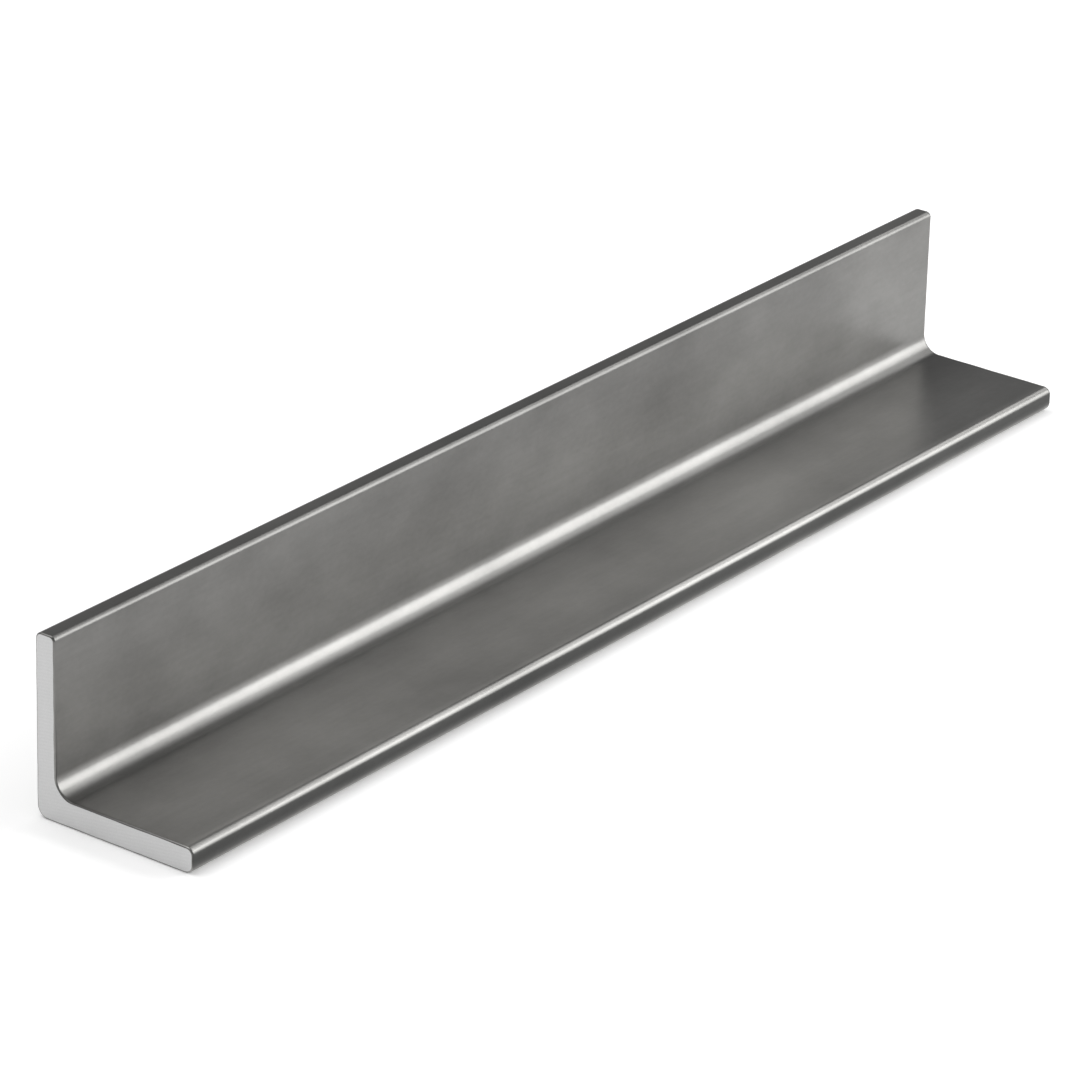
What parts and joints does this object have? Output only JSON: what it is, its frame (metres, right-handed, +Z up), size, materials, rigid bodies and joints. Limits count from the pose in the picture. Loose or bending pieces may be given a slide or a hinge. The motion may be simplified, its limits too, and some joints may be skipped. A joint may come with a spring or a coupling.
{
  "type": "equal-leg steel angle section",
  "caption": "Straight hot-rolled steel angle with equal legs, filleted inside corner, rounded toes and square sawn ends.",
  "frame": {"origin": "under the middle of the section's box, half way along the length, on the face that the angle lies on", "axes": "+X along the length, +Y towards the standing leg's outer face, +Z up along the standing leg"},
  "size_m": [0.455, 0.06, 0.06],
  "materials": {
    "rolled_steel": "bare hot-rolled skin, descaled, satin grey, with lighter sawn ends"
  },
  "bodies": {
    "root": {"angle_section": "rolled_steel"}
  },
  "joints": []
}
